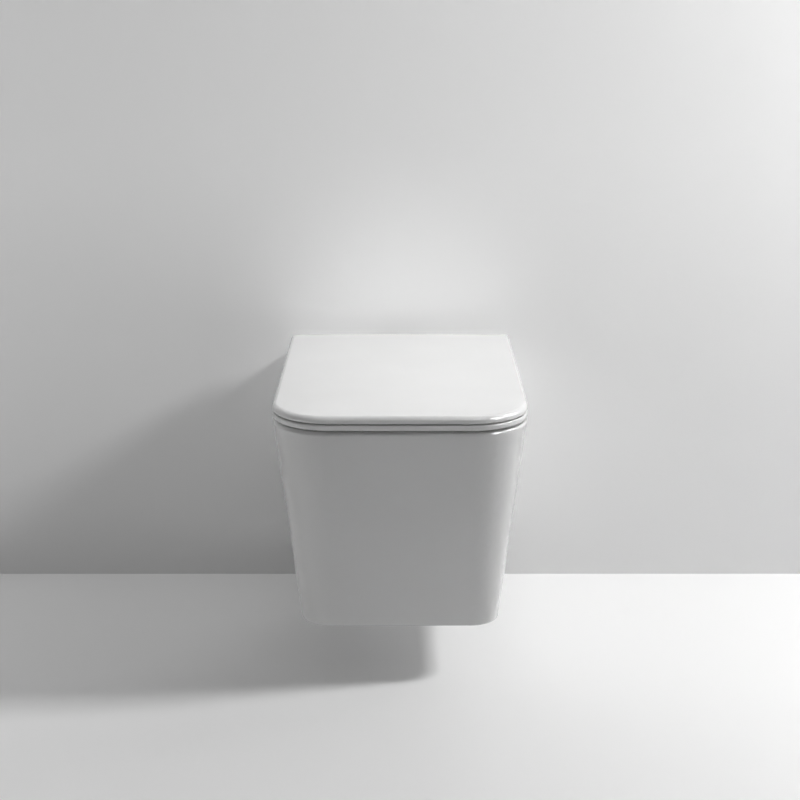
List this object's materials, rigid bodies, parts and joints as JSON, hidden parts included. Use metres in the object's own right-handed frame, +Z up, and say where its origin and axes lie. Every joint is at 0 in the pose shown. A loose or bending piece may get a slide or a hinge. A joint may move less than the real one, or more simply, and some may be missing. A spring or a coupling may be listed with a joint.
{
  "type": "wall hung toilet",
  "caption": "Square-fronted wall hung toilet: rimless glazed pan with tapered skirt, hidden wall fixing, soft close seat and flat lid on quick release hinges.",
  "frame": {"origin": "midway between the two wall studs, on the wall face", "axes": "+Y runs into the wall, +Z is up, the bowl's front faces -Y"},
  "size_m": [0.3496, 0.4898, 0.3389],
  "materials": {
    "vitreous_china": "white gloss glaze",
    "seat_white": "white gloss thermoset",
    "stainless": "turned stainless steel",
    "zinc_alloy": "cast and turned",
    "hinge_chrome": "polished",
    "hinge_shell": "white moulded",
    "button_grey": "grey moulded",
    "damper_grey": "dark grey moulded",
    "nylon": "natural nylon",
    "cap_white": "white moulded",
    "seal_rubber": "black rubber",
    "buffer_rubber": "pale grey rubber"
  },
  "bodies": {
    "pan": {"ceramic_pan": "vitreous_china", "inlet_seal": "seal_rubber", "fixing_barrel_right": "zinc_alloy", "fixing_barrel_left": "zinc_alloy", "side_bush_right": "nylon", "side_bush_left": "nylon", "side_screw_right": "stainless", "side_screw_left": "stainless", "side_cap_right": "cap_white", "side_cap_left": "cap_white", "hinge_gasket_right": "seal_rubber", "hinge_gasket_left": "seal_rubber", "hinge_plate_right": "hinge_chrome", "hinge_plate_left": "hinge_chrome", "hinge_post_right": "stainless", "hinge_post_left": "stainless", "hinge_bolt_right": "stainless", "hinge_bolt_left": "stainless", "expansion_bush_right": "seal_rubber", "expansion_bush_left": "seal_rubber", "hinge_nut_right": "stainless", "hinge_nut_left": "stainless", "hinge_block_right": "hinge_shell", "hinge_block_left": "hinge_shell", "hinge_pin_right": "stainless", "hinge_pin_left": "stainless"},
    "seat": {"seat_ring": "seat_white", "seat_buffers": "buffer_rubber", "seat_damper": "damper_grey", "seat_bush": "nylon"},
    "lid": {"lid": "seat_white", "lid_buffers": "buffer_rubber", "lid_damper": "damper_grey", "lid_bush": "nylon"},
    "button_right": {"release_button_right": "button_grey"},
    "button_left": {"release_button_left": "button_grey"}
  },
  "joints": [
    {"name": "seat_hinge", "type": "hinge", "parent": "pan", "child": "seat", "pos_m": [0, -0.045, 0.098], "axis": [-1, 0, 0], "range_deg": [0, 92]},
    {"name": "lid_hinge", "type": "hinge", "parent": "seat", "child": "lid", "pos_m": [0, -0.045, 0.098], "axis": [-1, 0, 0], "range_deg": [0, 93]},
    {"name": "button_right_press", "type": "slide", "parent": "pan", "child": "button_right", "axis": [0, 1, 0], "range_m": [0, 0.0025], "stiffness_N_per_m": 600, "springref_m": -0.003},
    {"name": "button_left_press", "type": "slide", "parent": "pan", "child": "button_left", "axis": [0, 1, 0], "range_m": [0, 0.0025], "stiffness_N_per_m": 600, "springref_m": -0.003}
  ]
}
